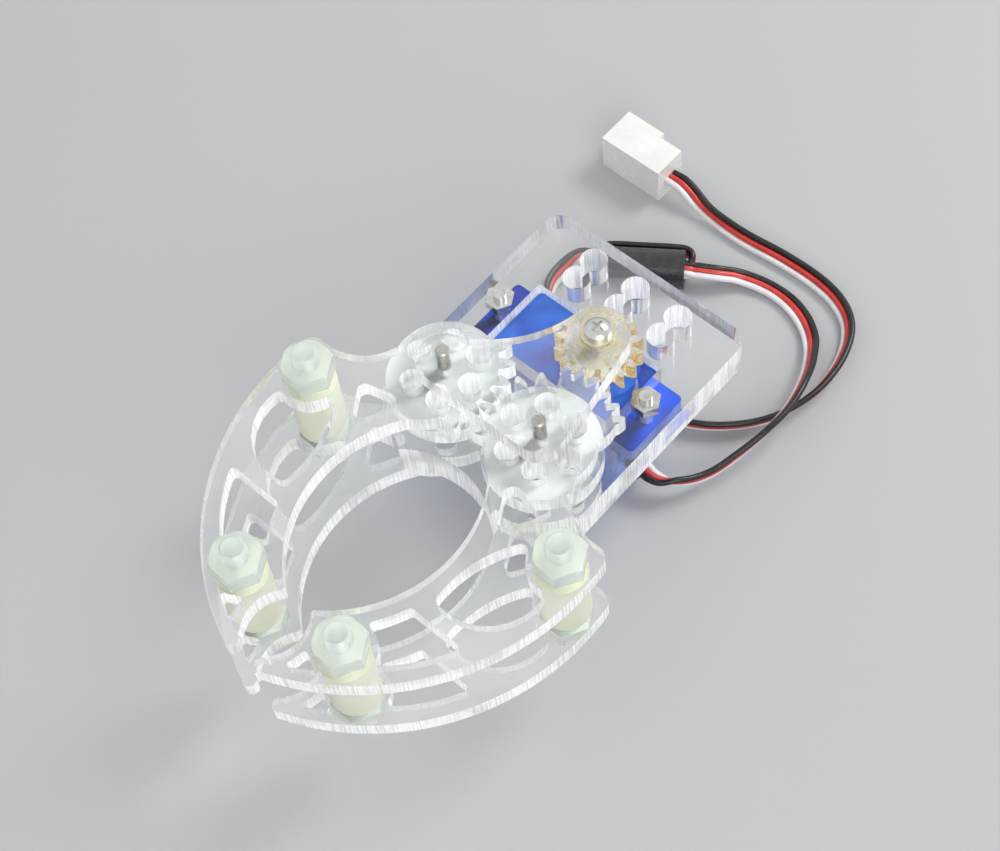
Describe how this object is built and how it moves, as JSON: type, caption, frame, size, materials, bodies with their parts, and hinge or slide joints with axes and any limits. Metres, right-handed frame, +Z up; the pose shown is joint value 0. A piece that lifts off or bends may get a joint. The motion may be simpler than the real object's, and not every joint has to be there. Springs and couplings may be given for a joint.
{
  "type": "electric two finger gripper",
  "caption": "Clear sheet gripper: two geared curved fingers on steel pins, opened by a micro servo through a small gear, with a ribbon cord and plug.",
  "frame": {"origin": "under the middle of the gripper without its cord, on the surface that the servo stands on", "axes": "+Z up along the pivot pins, +Y toward the mounting holes, -Y toward the finger tips"},
  "size_m": [0.0594, 0.1166, 0.0375],
  "materials": {
    "clear_acrylic": "polished faces with bright cut edges",
    "drive_gear": "hazy clear with amber specks",
    "nylon": "translucent white moulding",
    "sleeve": "cream moulding",
    "servo_blue": "translucent blue moulding",
    "nickel": "bright nickel plate",
    "steel": "turned",
    "white_plastic": "white moulding",
    "board": "green board",
    "rubber": "soft black",
    "ferrite": "black ferrite",
    "cord": "three-wire ribbon, black, red and white",
    "plug": "glossy white nylon"
  },
  "bodies": {
    "gripper_frame": {"base_plate": "clear_acrylic", "link_plate": "clear_acrylic", "left_pivot_pin": "steel", "right_pivot_pin": "steel", "left_hub_washer": "clear_acrylic", "right_hub_washer": "clear_acrylic", "servo_case_top": "servo_blue", "servo_case_middle": "servo_blue", "servo_case_bottom": "servo_blue", "servo_case_screws": "steel", "servo_mount_screws": "nickel", "servo_mount_nuts": "nickel", "servo_motor": "steel", "idler_axle": "steel", "position_sensor": "board", "control_board": "board", "cord_grommet": "rubber", "servo_cord": "cord", "cord_winding": "cord", "ferrite_core": "ferrite", "plug_cord": "cord", "plug_housing": "plug", "plug_terminals": "nickel"},
    "right_finger": {"right_finger_upper_plate": "clear_acrylic", "right_finger_lower_plate": "clear_acrylic", "right_spacer_disc": "clear_acrylic", "right_finger_bolts": "nylon", "right_finger_nuts": "nylon", "right_finger_sleeves": "sleeve"},
    "left_finger": {"left_finger_upper_plate": "clear_acrylic", "left_finger_lower_plate": "clear_acrylic", "left_spacer_disc": "clear_acrylic", "left_finger_bolts": "nylon", "left_finger_nuts": "nylon", "left_finger_sleeves": "sleeve"},
    "drive": {"drive_gear": "drive_gear", "servo_horn": "white_plastic", "drive_washer": "nickel", "drive_screw": "nickel", "output_shaft": "white_plastic"},
    "train_gear_3": {"reduction_gear_3": "white_plastic"},
    "train_gear_2": {"reduction_gear_2": "white_plastic"},
    "train_gear_1": {"reduction_gear_1": "white_plastic"},
    "motor_rotor": {"motor_pinion": "nickel"}
  },
  "joints": [
    {"name": "right_finger_hinge", "type": "hinge", "parent": "gripper_frame", "child": "right_finger", "pos_m": [0.009, 0.0077, 0.03], "axis": [0, 0, 1], "range_deg": [-1.5, 43]},
    {"name": "left_finger_hinge", "type": "hinge", "parent": "gripper_frame", "child": "left_finger", "pos_m": [-0.009, 0.0077, 0.03], "axis": [0, 0, 1], "range_deg": [-43.05, 1.55]},
    {"name": "drive_spin", "type": "hinge", "parent": "gripper_frame", "child": "drive", "pos_m": [0.0054, 0.0244, 0.03], "axis": [0, 0, 1], "range_deg": [-86.1, 3.1]},
    {"name": "train_3_spin", "type": "hinge", "parent": "gripper_frame", "child": "train_gear_3", "pos_m": [0, 0.0244, 0.019], "axis": [0, 0, 1], "range_deg": [-8.06, 223.86]},
    {"name": "train_2_spin", "type": "hinge", "parent": "gripper_frame", "child": "train_gear_2", "pos_m": [0.0054, 0.0244, 0.019], "axis": [0, 0, 1], "range_deg": [-582.04, 20.96]},
    {"name": "train_1_spin", "type": "hinge", "parent": "gripper_frame", "child": "train_gear_1", "pos_m": [0, 0.0244, 0.019], "axis": [0, 0, 1], "range_deg": [-54.49, 1513.29]},
    {"name": "motor_spin", "type": "hinge", "parent": "gripper_frame", "child": "motor_rotor", "pos_m": [-0.0054, 0.0244, 0.017], "axis": [0, 0, 1], "range_deg": [-3934.56, 141.66]}
  ],
  "couplings": [
    {"joint": "left_finger_hinge", "follows": "right_finger_hinge", "ratio": -1},
    {"joint": "drive_spin", "follows": "right_finger_hinge", "ratio": -2},
    {"joint": "train_3_spin", "follows": "right_finger_hinge", "ratio": 5.2},
    {"joint": "train_2_spin", "follows": "right_finger_hinge", "ratio": -13.52},
    {"joint": "train_1_spin", "follows": "right_finger_hinge", "ratio": 35.152},
    {"joint": "motor_spin", "follows": "right_finger_hinge", "ratio": -91.395}
  ]
}
